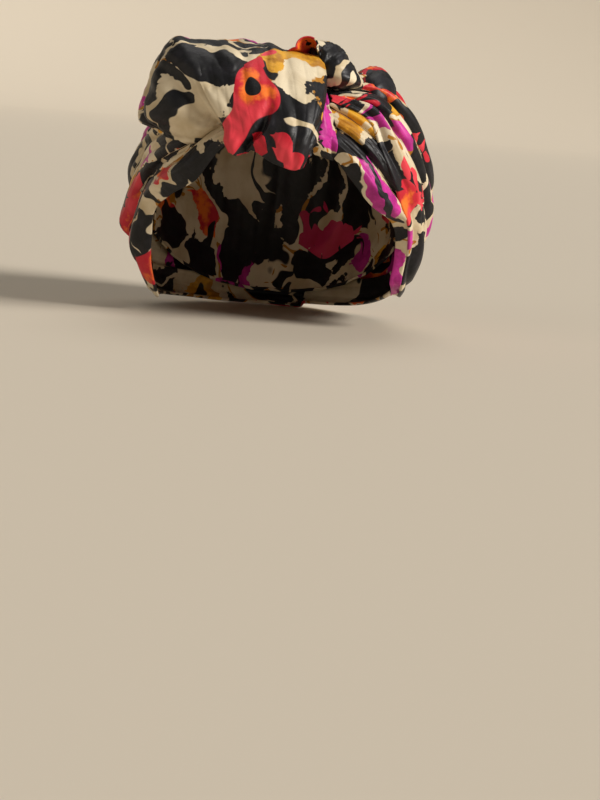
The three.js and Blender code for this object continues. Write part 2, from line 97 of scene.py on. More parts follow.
# --- small mathematics


def lerp(a, b, t):
    return a + (b - a) * t


def smooth(x, low, high):
    """From 0 at low to 1 at high, with soft ends."""
    t = np.clip((x - low) / (high - low), 0, 1)
    return t * t * (3 - 2 * t)


def length_of(v):
    return np.linalg.norm(v, axis=-1)


def unit(v):
    return v / np.maximum(length_of(v), 1e-9)[..., None]


def along(rows, t):
    """A smooth curve through evenly spaced rows, at t from 0 to 1."""
    rows = np.asarray(rows, float)
    place = np.clip(t, 0, 1) * (len(rows) - 1)
    i = np.minimum(place.astype(int), len(rows) - 2)
    x = (place - i)[..., None]
    a, b, c, d = (rows[np.clip(i + k, 0, len(rows) - 1)] for k in (-1, 0, 1, 2))
    return b + 0.5 * x * (c - a + x * (2 * a - 5 * b + 4 * c - d + x * (3 * (b - c) + d - a)))


def noise(seed, s_cells, w_cells, s, w):
    """Smooth noise from about -1 to 1 over a patch of so many cells."""
    rng = np.random.default_rng(seed)
    lattice = rng.uniform(-1, 1, (s_cells + 4, w_cells + 4))
    i, j = s * s_cells + 1, w * w_cells + 1
    i0, j0 = np.floor(i).astype(int), np.floor(j).astype(int)
    x, y = i - i0, j - j0

    def weights(t):
        return (
            0.5 * (-t + 2 * t**2 - t**3),
            0.5 * (2 - 5 * t**2 + 3 * t**3),
            0.5 * (t + 4 * t**2 - 3 * t**3),
            0.5 * (-(t**2) + t**3),
        )

    total = 0
    for a, wa in enumerate(weights(x)):
        for b, wb in enumerate(weights(y)):
            row = np.clip(i0 + a - 1, 0, s_cells + 3)
            col = np.clip(j0 + b - 1, 0, w_cells + 3)
            total = total + wa * wb * lattice[row, col]
    return total


def mound(s, w, height, place, size):
    """A round swell on a patch, with its place and size along and across."""
    away = ((s - place[0]) / size[0]) ** 2 + ((w - place[1]) / size[1]) ** 2
    return height * np.exp(-away)


GATHER_LEAN, GATHER_ROUNDNESS = 0.7, 0.65


def pillow(phase):
    """A row of gathers: round between whole numbers, sharp at them, and leaning over the one before."""
    return np.sin(np.pi * np.mod(phase, 1) ** GATHER_LEAN) ** GATHER_ROUNDNESS


def gathers(seed, s, w, counts, sizes, drift=1.2):
    """Folds that run along s, wander and fade, at several scales across w."""
    total = 0
    for k, (count, size) in enumerate(zip(counts, sizes)):
        wander = drift * noise(seed + 10 * k, 4 + k, 3 + k, s, w)
        strength = 0.55 + 0.6 * noise(seed + 10 * k + 5, 4 + 2 * k, 3 + 2 * k, s, w)
        total = total + size * np.clip(strength, 0, 1.2) * (pillow(w * count + wander) - 0.7)
    return total


def patch(rows, columns):
    """The s and w of a grid of so many cells."""
    return np.meshgrid(np.linspace(0, 1, rows + 1), np.linspace(0, 1, columns + 1), indexing="ij")


def patch_of(grid):
    return patch(grid.shape[0] - 1, grid.shape[1] - 1)


def blurred(field, times):
    for _ in range(times):
        p = np.pad(field, 1, mode="edge")
        field = (p[:-2, 1:-1] + p[2:, 1:-1] + p[1:-1, :-2] + p[1:-1, 2:] + 2 * p[1:-1, 1:-1]) / 6
    return field


def spread(field, times):
    """The field with its high values spread so many cells outwards."""
    for _ in range(times):
        p = np.pad(field, 1, mode="edge")
        field = np.max([p[1:-1, 1:-1], p[:-2, 1:-1], p[2:, 1:-1], p[1:-1, :-2], p[1:-1, 2:]], axis=0)
    return field


def refined(grid):
    """The grid with a point more between each two, on a smooth curve through its points."""
    for axis in (0, 1):
        g = np.moveaxis(grid, axis, 0)
        p = np.concatenate([2 * g[:1] - g[1:2], g, 2 * g[-1:] - g[-2:-1]])
        finer = np.empty((2 * len(g) - 1, *g.shape[1:]))
        finer[::2] = g
        finer[1::2] = (9 * (p[1:-2] + p[2:-1]) - p[:-3] - p[3:]) / 16
        grid = np.moveaxis(finer, 0, axis)
    return grid


# --- the head under the cloth

# The head form's centre, its reach each way, and how square it is.
CENTRE = np.array([0.0, 2.0, -75.0])
HALF_WIDTH, FRONT, BACK, UP, DOWN, POWER = 77.0, 92.0, 98.0, 75.0, 105.0, 2.25


def direction(azimuth, elevation):
    a, e = np.radians(azimuth), np.radians(elevation)
    return np.stack([np.sin(a) * np.cos(e), -np.cos(a) * np.cos(e), np.sin(e) * np.ones_like(a)], -1)


def head_radius(d):
    depth = np.where(d[..., 1] < 0, FRONT, BACK)
    height = np.where(d[..., 2] > 0, UP, DOWN)
    total = (
        np.abs(d[..., 0] / HALF_WIDTH) ** POWER
        + np.abs(d[..., 1] / depth) ** POWER
        + np.abs(d[..., 2] / height) ** POWER
    )
    return total ** (-1 / POWER)


def on_head(d, height):
    return CENTRE + d * (head_radius(d) + height)[..., None]


# --- laying one layer over another

FAR = 300.0  # from the head's centre, outside every layer
SHOULDER = 3  # how many cells early a layer starts to climb on the one below
PRESS_DEPTH = 2.6  # how far a pressed edge goes down through the layers below
below = []  # trees of the layers laid so far, without the puffs


def cell_corners(grid):
    rows, columns = grid.shape[:2]
    index = np.arange(rows * columns).reshape(rows, columns)
    return np.stack([index[:-1, :-1], index[1:, :-1], index[1:, 1:], index[:-1, 1:]], -1)


def tree_of(grid):
    return BVHTree.FromPolygons(grid.reshape(-1, 3).tolist(), cell_corners(grid).reshape(-1, 4).tolist())


def heights_below(d, trees):
    """How far from the head's centre the layers below reach, along directions."""
    top = np.zeros(d.shape[:-1])
    for i in np.ndindex(top.shape):
        ray = Vector(d[i])
        start = Vector(CENTRE) + ray * FAR
        for tree in trees:
            hit = tree.ray_cast(start, -ray, FAR)
            if hit[0] is not None:
                top[i] = max(top[i], FAR - hit[3])
    return top


def laid_over(grid, trees, pressed=0.0):
    """The grid lifted clear of the layers below, with soft shoulders where it climbs on them.

    Where pressed is 1 it goes down through them instead, so that it seems to grow out of them.
    """
    arm = grid - CENTRE
    radius = length_of(arm)
    d = arm / radius[..., None]
    floor = heights_below(d, trees) + CLOTH + GAP
    floor = np.maximum(floor, blurred(spread(floor, SHOULDER), 2 * SHOULDER)) - PRESS_DEPTH * pressed
    return CENTRE + d * lerp(np.maximum(radius, floor), floor, pressed)[..., None]


def clear_of(grid, trees, sink):
    """Which points stand above the layers below, less a little that is tucked in."""
    arm = grid - CENTRE
    radius = length_of(arm)
    return radius > heights_below(arm / radius[..., None], trees) - sink


# --- settling the cloth

GROWING_TIME = 0.6  # the share of the steps in which the spare cloth comes in
SMOOTHING = 0.25  # how much of a fold's curve along the cloth is taken out at a time


def hold_lengths(points, rest, axis):
    """Move neighbours along an axis to their rest distances, even pairs first and then odd ones."""
    p, rest = np.moveaxis(points, axis, 0), np.moveaxis(rest, axis, 0)
    for start in (0, 1):
        count = (len(p) - start) // 2
        first = p[start : start + 2 * count : 2]
        second = p[start + 1 : start + 1 + 2 * count : 2]
        arm = second - first
        length = length_of(arm)
        wanted = rest[start : start + 2 * count : 2]
        move = (0.5 * (length - wanted) / np.maximum(length, 1e-6))[..., None] * arm
        first += move
        second -= move


def curvature(field, axis):
    f = np.moveaxis(field, axis, 0)
    bend = np.zeros_like(f)
    bend[1:-1] = f[:-2] - 2 * f[1:-1] + f[2:]
    return np.moveaxis(bend, 0, axis)


def settle(
    grid, centre, spare, spare_along=0.0, folds_along=2, steps=160,
    sink=3.5, rise=2.8, pull=0.008, bend=0.075, hold=0.0,
):
    """A grid's cloth once it is wider than the form under it, so that it buckles into folds.

    spare and spare_along are the cloth's spare shares across and along the grid's rows. folds_along
    says how straight the folds run along it, sink and rise how far they go below and above the form,
    pull how firmly the form keeps them, bend how stiff the cloth is, and hold is 1 where it stays
    where it is.
    """
    base = grid
    arm = base - centre
    reach = length_of(arm)
    width = length_of(np.diff(base, axis=1))
    length = length_of(np.diff(base, axis=0))
    spare = (spare * np.ones(reach.shape))[:, 1:]
    spare_along = (spare_along * np.ones(reach.shape))[1:]
    free = (1 - hold * np.ones(reach.shape))[..., None] * (1 - pull)
    points = base.copy()
    for step in range(steps):
        grown = min(1.0, (step + 1) / (GROWING_TIME * steps))
        hold_lengths(points, width * (1 + grown * spare), 1)
        hold_lengths(points, length * (1 + grown * spare_along), 0)
        off = points - base
        for _ in range(folds_along):
            off = off + SMOOTHING * curvature(off, 0)
        off = off - bend * curvature(curvature(off, 1), 1)
        if not folds_along:
            off = off - bend * curvature(curvature(off, 0), 0)
        points = base + off * free
        arm = points - centre
        distance = length_of(arm)
        points = centre + arm * (np.clip(distance, reach - sink, reach + rise) / distance)[..., None]
    return points


def with_fine_folds(grid, seed, counts, sizes, centre=CENTRE):
    """Small folds and unevenness on the finished form."""
    s, w = patch_of(grid)
    height = gathers(seed, s, w, counts, sizes) + 0.22 * noise(seed + 90, 26, 22, s, w)
    return grid + unit(grid - centre) * height[..., None]


ROLL_END = 0.15  # the share of its radius that a rolled edge keeps at its ends


def with_rolled_edge(grid, axis, last, radius, turn, steps, centre=CENTRE, taper=12):
    """The grid with one edge rolled inwards, as a hem or a fold is: its first or last line along an axis.

    turn is in degrees. taper is how many points from its ends the roll takes to its full radius.
    """
    g = np.moveaxis(grid, axis, 0)
    if last:
        g = g[::-1]
    outward = unit(g[0] - g[3])
    facing = unit(np.cross(np.gradient(g[0], axis=0), outward))
    facing = facing * np.sign(np.sum(facing * (g[0] - centre), axis=-1, keepdims=True))
    for _ in range(6):
        outward[1:-1] = unit(outward[:-2] + outward[1:-1] + outward[2:])
        facing[1:-1] = unit(facing[:-2] + facing[1:-1] + facing[2:])
    corner = np.minimum(np.arange(len(g[0])), np.arange(len(g[0]))[::-1])
    radius = radius * lerp(ROLL_END, 1, smooth(corner, 0, taper))[:, None]
    hub = g[0] - radius * facing
    angles = np.radians(turn) * np.arange(1, steps + 1)[::-1, None, None] / steps
    roll = hub + radius * (facing * np.cos(angles) + outward * np.sin(angles))
    g = np.concatenate([roll, g])
    return np.moveaxis(g[::-1] if last else g, 0, axis)


# --- making meshes

PRINT_SCALE = 1.26  # above 1, the print's figures are smaller on the cloth


def axes_of(pole):
    """A unit pole, with a level side and a top square to it."""
    pole = unit(np.array(pole, float))
    side = unit(np.cross((0, 0, 1), pole))
    return pole, side, np.cross(pole, side)


def print_from_patch(grid, offset, hidden=None):
    """Where each point lies on the flat cloth, in metres; hidden is the width that folds tuck away."""
    step_s = length_of(np.diff(grid, axis=0, prepend=grid[:1]))
    step_w = length_of(np.diff(grid, axis=1, prepend=grid[:, :1]))
    length = np.cumsum(step_s, axis=0).mean(axis=1, keepdims=True) + 0 * step_s
    width = np.cumsum(step_w, axis=1)
    width = width - width[:, width.shape[1] // 2, None]
    if hidden is not None:
        width = width + hidden
    return np.stack([length, width, 0 * width], -1) * MM * PRINT_SCALE + np.array(offset)


def print_round(grid, centre, pole, radius, offset):
    """Where each point lies on flat cloth that wraps a round form, in metres, spread out from a pole."""
    pole, side, top = axes_of(pole)
    d = unit(grid - np.array(centre, float))
    turn = np.arctan2(d @ top, d @ side)
    reach = radius * np.arccos(np.clip(d @ pole, -1, 1))
    flat = np.stack([reach * np.cos(turn), reach * np.sin(turn), 0 * turn], -1)
    return flat * MM * PRINT_SCALE + np.array(offset)


def mesh_of(name, points, faces, print_points):
    mesh = bpy.data.meshes.new(name)
    mesh.from_pydata((points * MM).tolist(), [], faces)
    mesh.validate()
    mesh.update()
    attribute = mesh.attributes.new("print_co", "FLOAT_VECTOR", "POINT")
    attribute.data.foreach_set("vector", np.asarray(print_points, np.float32).ravel())
    mesh.polygons.foreach_set("use_smooth", [True] * len(mesh.polygons))
    return add_object(name, mesh)


def cloth_piece(name, grid, print_points, keep=None, centre=CENTRE):
    """A sheet of cloth through a grid, with thickness inwards; keep says which points stay."""
    quads = cell_corners(grid)
    across = grid[1:-1, 2:] - grid[1:-1, :-2]
    down = grid[2:, 1:-1] - grid[:-2, 1:-1]
    out = np.einsum("ijk,ijk->", np.cross(down, across), grid[1:-1, 1:-1] - centre)
    if out < 0:
        quads = quads[..., ::-1]
    if keep is not None:
        kept = keep[:-1, :-1] | keep[1:, :-1] | keep[1:, 1:] | keep[:-1, 1:]
        quads = quads[kept]
    quads = quads.reshape(-1, 4)
    used = np.unique(quads)
    renumber = np.full(grid.shape[0] * grid.shape[1], -1)
    renumber[used] = np.arange(len(used))
    points = grid.reshape(-1, 3)[used]
    piece = mesh_of(name, points, renumber[quads].tolist(), print_points.reshape(-1, 3)[used])
    wall = piece.modifiers.new("cloth", "SOLIDIFY")
    wall.thickness = CLOTH * MM
    wall.offset = -1
    wall.use_rim = True
    return piece


def finish_piece(piece):
    """Declare a piece that stands for the CAD node of its name."""
    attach(piece, "root")
    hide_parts(piece.name.removesuffix("_cloth"))
    piece.data.materials.append(silk)


# --- printed silk

CREAM, CREAM_SHADE = (0.70, 0.60, 0.43), (0.52, 0.41, 0.25)
INK, CHARCOAL = (0.003, 0.003, 0.004), (0.011, 0.010, 0.014)
CRIMSON, CORAL, ORANGE = (0.52, 0.012, 0.028), (0.70, 0.045, 0.065), (0.82, 0.17, 0.018)
MAGENTA, PLUM = (0.56, 0.030, 0.30), (0.36, 0.012, 0.19)
MUSTARD, OCHRE = (0.66, 0.33, 0.022), (0.40, 0.17, 0.012)

# How many cells of each figure there are in a metre of the print.
BLOB_SCALE, PETAL_SCALE, BLOOM_SCALE = 31.0, 95.0, 12.5
# A blob's random number says what it is: dark up to the first of these, then gold, pink and coral,
# and cream past the last.
DARK_END, GOLD_END, PINK_END, CORAL_END = 0.56, 0.66, 0.77, 0.84
BLOOM_END, PINK_BLOOM_START = 0.36, 0.84  # a cell has a bloom under the first; a pink one is over the other


class Nodes:
    """A material's node tree, with short names for what the print is made of."""

    def __init__(self, tree):
        self.tree = tree

    def node(self, kind, inputs, **settings):
        """A new shader node with its settings; an input is a socket, a value, or None to leave it."""
        made = self.tree.nodes.new("ShaderNode" + kind)
        for key, value in settings.items():
            setattr(made, key, value)
        for key, value in inputs.items():
            if isinstance(value, bpy.types.NodeSocket):
                self.tree.links.new(value, made.inputs[key])
            elif value is not None:
                made.inputs[key].default_value = value
        return made

    def maths(self, operation, a, b, c=None):
        return self.node("Math", {0: a, 1: b, 2: c}, operation=operation).outputs[0]

    def vector(self, operation, a, b=None, scale=None):
        inputs = {0: a, 1: b, "Scale": scale}
        return self.node("VectorMath", inputs, operation=operation).outputs[0]

    def fog(self, place, scale, detail=2.0, rough=0.5, distortion=0.0, output="Fac"):
        inputs = dict(Vector=place, Scale=scale, Detail=detail, Roughness=rough, Distortion=distortion)
        return self.node("TexNoise", inputs, noise_dimensions="2D").outputs[output]

    def push(self, place, scale, reach):
        """A push aside that changes smoothly over the cloth, by up to half of reach."""
        colour = self.fog(place, scale, 1.0, output="Color")
        return self.vector("SCALE", self.vector("SUBTRACT", colour, (0.5,) * 3), scale=reach)

    def cells(self, place, scale, feature="F1"):
        inputs = {"Vector": place, "Scale": scale}
        return self.node("TexVoronoi", inputs, voronoi_dimensions="2D", feature=feature).outputs

    def parts(self, colour):
        return self.node("SeparateColor", {"Color": colour}).outputs

    def above(self, value, at, width):
        """1 above a value and 0 below it, with a soft edge."""
        if not isinstance(at, float):
            value, at = self.maths("SUBTRACT", value, at), 0.0
        inputs = {"Value": value, "From Min": at - width, "From Max": at + width}
        return self.node("MapRange", inputs, interpolation_type="SMOOTHSTEP").outputs[0]

    def under(self, value, at, width):
        return self.maths("SUBTRACT", 1.0, self.above(value, at, width))

    def both(self, a, b):
        return self.maths("MULTIPLY", a, b)

    def either(self, a, b):
        return self.maths("MAXIMUM", a, b)

    def mix(self, factor, a, b):
        """Colour a where the factor is 0, and b where it is 1."""
        a, b = ((*c, 1) if isinstance(c, tuple) else c for c in (a, b))
        return self.node("Mix", {0: factor, 6: a, 7: b}, data_type="RGBA").outputs[2]


def blob_layers(n, bent, wash, torn, pink):
    """Dark blobs and dabs of plain colour: each layer's mask and colour."""
    # Longish cells with cream lanes between them, which close here and there.
    blot_place = n.vector("MULTIPLY", bent, (0.8, 1.2, 1.0))
    lane = n.cells(blot_place, BLOB_SCALE, "DISTANCE_TO_EDGE")["Distance"]
    kind = n.parts(n.cells(blot_place, BLOB_SCALE)["Color"])[0]
    width_fog = n.fog(n.vector("ADD", bent, (3.1, 1.7, 0.4)), 40.0, 1.0)
    width = n.maths("MULTIPLY_ADD", width_fog, 0.42, -0.115)
    inside = n.above(n.maths("MULTIPLY_ADD", torn, 0.22, lane), width, 0.012)
    # Larger dark masses and longer brush marks over them.
    mass_fog = n.fog(n.vector("ADD", bent, (7.3, 2.2, 5.0)), 20.0, 0.6)
    mass = n.above(n.maths("MULTIPLY_ADD", torn, 0.08, mass_fog), 0.62, 0.006)
    brush_place = n.vector("MULTIPLY", n.vector("ADD", bent, (2.3, 5.1, 0.0)), (0.6, 1.4, 1.0))
    brush = n.above(n.fog(brush_place, 34.0, 0.6, 0.4, 0.4), 0.63, 0.006)
    dark = n.either(n.either(n.both(inside, n.under(kind, DARK_END, 0.001)), mass), brush)
    dark_colour = n.mix(n.above(wash, 0.56, 0.16), INK, CHARCOAL)
    # Dabs of plain colour in some of the other cells.
    gold = n.mix(n.above(wash, 0.54, 0.12), MUSTARD, OCHRE)
    coral = n.mix(n.above(wash, 0.50, 0.12), CRIMSON, ORANGE)
    dab_colour = n.mix(n.above(kind, GOLD_END, 0.001), gold, pink)
    dab_colour = n.mix(n.above(kind, PINK_END, 0.001), dab_colour, coral)
    dab = n.both(n.both(inside, n.above(kind, DARK_END, 0.001)), n.under(kind, CORAL_END, 0.001))
    return (dab, dab_colour), (dark, dark_colour)


def bloom_layers(n, place, swoop, waver, wash, mottle, torn, pink):
    """Blooms of scalloped petals, from orange to crimson, and their dark hearts: masks and colours."""
    scallop = n.cells(n.vector("ADD", n.vector("ADD", place, (5.0, 5.0, 5.0)), waver), PETAL_SCALE)
    centre = n.cells(n.vector("ADD", scallop["Position"], swoop), BLOOM_SCALE)
    here = n.cells(n.vector("ADD", place, swoop), BLOOM_SCALE)
    kind = n.parts(here["Color"])
    petals = n.both(n.under(centre["Distance"], 0.25, 0.002), n.under(scallop["Distance"], 0.62, 0.012))
    bloom = n.either(petals, n.under(here["Distance"], 0.28, 0.006))
    bloom = n.both(bloom, n.under(kind[0], BLOOM_END, 0.001))
    from_rim = n.maths("MULTIPLY_ADD", wash, 0.55, n.maths("SUBTRACT", here["Distance"], 0.28))
    colour = n.mix(n.above(from_rim, 0.16, 0.07), ORANGE, CRIMSON)
    colour = n.mix(n.above(mottle, 0.55, 0.05), colour, CORAL)
    colour = n.mix(n.above(kind[1], PINK_BLOOM_START, 0.001), colour, pink)
    ragged = n.maths("MULTIPLY_ADD", torn, 0.35, n.maths("MULTIPLY_ADD", mottle, 0.34, here["Distance"]))
    heart = n.both(n.under(ragged, 0.235, 0.005), bloom)
    return (bloom, colour), (heart, INK)


def print_colour(n, place):
    """A generic print: dark blobs, blooms, dabs and strokes on a cream ground."""
    swoop = n.push(place, 17.0, 0.075)
    waver = n.push(place, 62.0, 0.014)
    bent = n.vector("ADD", n.vector("ADD", place, swoop), waver)
    wash = n.fog(place, 75.0, 4.0, 0.6)
    mottle = n.fog(place, 26.0, 1.5)
    torn = n.both(n.maths("SUBTRACT", n.fog(place, 230.0), 0.5), n.above(mottle, 0.52, 0.05))
    pink = n.mix(n.above(wash, 0.50, 0.16), MAGENTA, PLUM)
    strokes = n.above(n.fog(n.vector("ADD", bent, (0.9, 0.2, 0.5)), 44.0, 1.0, 0.4, 1.2), 0.66, 0.008)
    colour = n.mix(n.above(n.fog(place, 34.0, 3.0, 0.55), 0.52, 0.2), CREAM, CREAM_SHADE)
    for mask, paint in (
        (strokes, OCHRE),
        *blob_layers(n, bent, wash, torn, pink),
        *bloom_layers(n, place, swoop, waver, wash, mottle, torn, pink),
    ):
        colour = n.mix(mask, colour, paint)
    return colour


def weave_relief(n, place, slub):
    """Fine twill lines and slubs, with soft handling creases."""
    waves = {"Vector": place, "Scale": 1150.0, "Distortion": 1.2, "Detail": 2.0}
    twill = n.node("TexWave", waves, bands_direction="DIAGONAL").outputs["Fac"]
    creases = n.fog(place, 120.0, 3.0, 0.5, 0.6)
    relief = None
    for height, strength, depth in ((creases, 0.35, 0.0008), (slub, 0.16, 0.0003), (twill, 0.10, 0.0001)):
        inputs = {"Height": height, "Strength": strength, "Distance": depth, "Normal": relief}
        relief = n.node("Bump", inputs).outputs[0]
    return relief


def make_silk():
    """Printed silk satin; its sheen is a little uneven with the slubs."""
    material = bpy.data.materials.new("printed_silk")
    material.use_nodes = True
    material.node_tree.nodes.clear()
    n = Nodes(material.node_tree)
    place = n.node("Attribute", {}, attribute_name="print_co").outputs["Vector"]
    slub = n.fog(n.vector("MULTIPLY", place, (1.0, 9.0, 1.0)), 180.0, 3.0, 0.6)
    inputs = {
        "Base Color": print_colour(n, place),
        "Roughness": n.maths("MULTIPLY_ADD", slub, 0.18, 0.37),
        "Normal": weave_relief(n, place, slub),
        "Sheen Weight": 0.015,
        "Sheen Roughness": 0.4,
        "Specular IOR Level": 0.33,
    }
    shader = n.node("BsdfPrincipled", inputs)
    n.node("OutputMaterial", {"Surface": shader.outputs[0]})
    return material


silk = make_silk()

# --- layers laid on the head

HEM_RADIUS, HEM_TURN, HEM_STEPS = 1.0, 250, 8  # of the roll at a layer's low or right edge and its end
FOLD_RADIUS, FOLD_TURN, FOLD_STEPS = 0.45, 80, 3  # of its high or left edge, which is just turned down


def add_layer(name, grid, offset, hidden=None):
    """A piece laid over the layers so far, with its edges turned in; offset is its place on the print."""
    grid = laid_over(grid, below) if below else grid
    grid = with_rolled_edge(grid, 1, False, HEM_RADIUS, HEM_TURN, HEM_STEPS)
    grid = with_rolled_edge(grid, 1, True, FOLD_RADIUS, FOLD_TURN, FOLD_STEPS)
    grid = with_rolled_edge(grid, 0, True, HEM_RADIUS, HEM_TURN, HEM_STEPS)
    if hidden is not None:
        hidden = np.pad(hidden, ((0, HEM_STEPS), (HEM_STEPS, FOLD_STEPS)), mode="edge")
    piece = cloth_piece(name, grid, print_from_patch(grid, offset, hidden))
    finish_piece(piece)
    below.append(tree_of(grid))


# --- crown

# Columns: pitch up and over from straight ahead and half the width across, both in degrees, lift,
# and depth of the gathers.
CROWN_ROWS = [
    (44, 34, 4.2, 1.2),
    (62, 48, 4.6, 1.6),
    (82, 55, 5.6, 2.2),
    (104, 58, 6.2, 2.2),
    (126, 59, 6.0, 1.8),
    (150, 60, 5.0, 1.2),
    (176, 62, 4.2, 0.8),
    (198, 60, 3.8, 0.4),
    (216, 56, 3.6, 0.2),
]
CROWN_CELLS = 80
CROWN_GATHERS = 6
CROWN_EDGE_LIFT, CROWN_LEAST_LIFT = 3.2, 1.6


def crown_grid():
    s, w = patch(CROWN_CELLS, CROWN_CELLS)
    pitch, reach, lift, pleat = np.moveaxis(along(CROWN_ROWS, s), -1, 0)
    pitch, yaw = np.radians(pitch), np.radians(reach) * (2 * w - 1)
    d = np.stack([np.sin(yaw), -np.cos(yaw) * np.cos(pitch), np.cos(yaw) * np.sin(pitch)], -1)
    wander = 0.35 * noise(7, 4, 3, s, w)
    full = lift - pleat * (1 - pillow(w * CROWN_GATHERS + wander))
    full = full + gathers(20, s, w, (15, 31), (0.9, 0.45)) * (1 - 0.6 * s)
    inside = np.sqrt(smooth(w, 0, 0.2) * smooth(1 - w, 0, 0.2))
    return on_head(d, lerp(np.minimum(full, CROWN_EDGE_LIFT), np.maximum(full, CROWN_LEAST_LIFT), inside))


def add_crown():
    grid = crown_grid()
    grid = settle(grid, CENTRE, 0.10 + 0.05 * noise(12, 4, 4, *patch_of(grid)), rise=2, sink=2)
    grid = with_fine_folds(refined(grid), 30, (17, 37), (0.35, 0.2))
    add_layer("crown_wrap_cloth", grid, (2.61, 0.0, 0.0))


# --- wraps

LOW_AZIMUTH, LOW_ELEVATION, HIGH_AZIMUTH, HIGH_ELEVATION, LIFT, PLEAT = range(6)
HEM_LIFT = 2.2  # of a wrap's edges above the head
HIGH_WANDER, LOW_WANDER = 2.6, 0.5  # how unevenly the two edges run, in degrees
FOLD_WANDER = 0.018  # how unevenly a fold's valley runs, as a share of the width
FOLD_LEAN = 0.62  # under 1, a fold is steep on the face's side, where it lies over the one in front
LEAST_SPARE, MOST_SPARE = 0.12, 0.32  # shares of the width that a wrap has to spare for its folds
HEM_HOLD = 0.6  # how firmly a wrap's low edge stays in place as it settles

# Stations run back from the knot. Their columns are the azimuth and elevation of the low edge and of
# the high edge, the lift, and the depth of the pleats. Folds have a row for each one's low valley:
# where it lies at the wrap's start and end, and its swell. Side is -1 on the wearer's right. Bulge is a
# mound over the ear, flat the cloth's size in metres, and print its place on the print.
RIGHT_WRAP = {
    "stations": [
        (4, 26, 4, 50, 6.0, 1.0),
        (20, 20, 28, 50, 8.5, 3.5),
        (30, 6, 55, 49, 9.5, 4.5),
        (43, 0, 78, 45, 7.5, 4.5),
        (55, -7, 96, 38, 7.0, 4.5),
        (60, -24, 112, 31, 12.5, 5.5),
        (76, -42, 128, 24, 5.5, 3.0),
        (110, -43, 146, 14, 8.5, 3.0),
        (150, -42, 168, 6, 8.0, 1.8),
        (194, -41, 194, 2, 7.0, 1.0),
    ],
    "folds": [(0, 0, 0.9), (0.24, 0.2, 1.0), (0.5, 0.46, 0.8), (0.76, 0.72, 0.5), (1, 1, 0)],
    "bulge": (3.4, (0.578, 0.25), (0.024, 0.12)),
    "side": -1,
    "seed": 100,
    "cells": (110, 84),
    "flat": (0.27, 0.14),
    "print": (3.61, 0.3, 0.0),
}
LEFT_FRONT_WRAP = {
    "stations": [
        (4, 26, 6, 48, 6.0, 1.0),
        (17, 19, 30, 44, 9.0, 4.0),
        (26, 10.5, 45, 36, 11.0, 5.0),
        (36, 2, 56, 24, 11.0, 5.0),
        (50, -5, 68, 10, 10.0, 4.0),
        (58, -17, 80, -4, 8.0, 3.0),
        (63, -29, 92, -12, 7.0, 2.0),
        (82, -35, 108, -20, 6.0, 1.0),
    ],
    "folds": [(0, 0, 1.0), (0.34, 0.34, 0.85), (0.58, 0.62, 0.95), (1, 1, 0)],
    "side": 1,
    "seed": 200,
    "cells": (100, 60),
    "flat": (0.17, 0.07),
    "print": (4.71, 0.0, 0.0),
}
LEFT_REAR_WRAP = {
    "stations": [
        (20, 38, 22, 56, 7.0, 0.5),
        (34, 32, 56, 58, 15.0, 5.0),
        (39, 16, 84, 54, 16.0, 7.0),
        (50, 0, 104, 46, 14.5, 7.0),
        (60, -15, 120, 38, 16.0, 7.0),
        (68, -29, 134, 30, 13.0, 5.5),
        (92, -35.5, 148, 22, 9.0, 4.0),
        (126, -39.5, 163, 14, 11.0, 3.0),
        (162, -40, 173, 8, 10.0, 2.0),
        (198, -39, 180, 3, 9.6, 1.0),
    ],
    "folds": [(0, 0, 0.9), (0.22, 0.22, 0.85), (0.46, 0.44, 1.0), (0.74, 0.7, 0.8), (1, 1, 0)],
    "side": 1,
    "seed": 300,
    "cells": (110, 84),
    "flat": (0.27, 0.15),
    "print": (6.01, 0.2, 0.0),
}


def folds_across(folds, seed, s, w):
    """How far each point stands up in its fold, and the width that the folds before it tuck away."""
    swell = np.zeros_like(s)
    tucked = np.zeros_like(s)
    for k in range(len(folds) - 1):
        wander = FOLD_WANDER * noise(seed + k, 5, 1, s, w) * (k > 0)
        wander_next = FOLD_WANDER * noise(seed + k + 1, 5, 1, s, w) * (k < len(folds) - 2)
        start = lerp(folds[k][0], folds[k][1], s) + wander
        end = lerp(folds[k + 1][0], folds[k + 1][1], s) + wander_next
        inside = (w >= start) & (w <= end)
        x = np.clip((w - start) / (end - start), 0, 1) ** FOLD_LEAN
        shape = (4 * x * (1 - x)) ** 0.62 * (1 + 0.25 * (0.5 - x))
        swell = np.where(inside, shape * folds[k][2], swell)
        tucked = tucked + (14 + 6 * k) * (w > start) * (k > 0)
    return swell, tucked


def wrap_grid(wrap):
    """A wrap's grid as it lies on the head, and the width that its folds tuck away."""
    seed = wrap["seed"]
    s, w = patch(*wrap["cells"])
    at = along(wrap["stations"], s)
    swell, tucked = folds_across(wrap["folds"], seed, s, w)
    high = at[..., HIGH_ELEVATION] + HIGH_WANDER * noise(seed + 30, 7, 1, s, 0.5 + 0 * w)
    low = at[..., LOW_ELEVATION] + LOW_WANDER * noise(seed + 35, 8, 1, s, 0.5 + 0 * w)
    azimuth = wrap["side"] * lerp(at[..., LOW_AZIMUTH], at[..., HIGH_AZIMUTH], w)
    full = at[..., LIFT] - at[..., PLEAT] * (1 - swell)
    full = full + gathers(seed + 50, s, w, (9, 17), (1.7, 0.6))
    if "bulge" in wrap:
        full = full + mound(s, w, *wrap["bulge"])
    inside = smooth(w, -0.02, 0.12) ** 0.55 * smooth(1 - w, -0.02, 0.09) ** 0.55
    height = lerp(HEM_LIFT, np.maximum(full, HEM_LIFT), inside)
    return on_head(direction(azimuth, lerp(low, high, w)), height), tucked


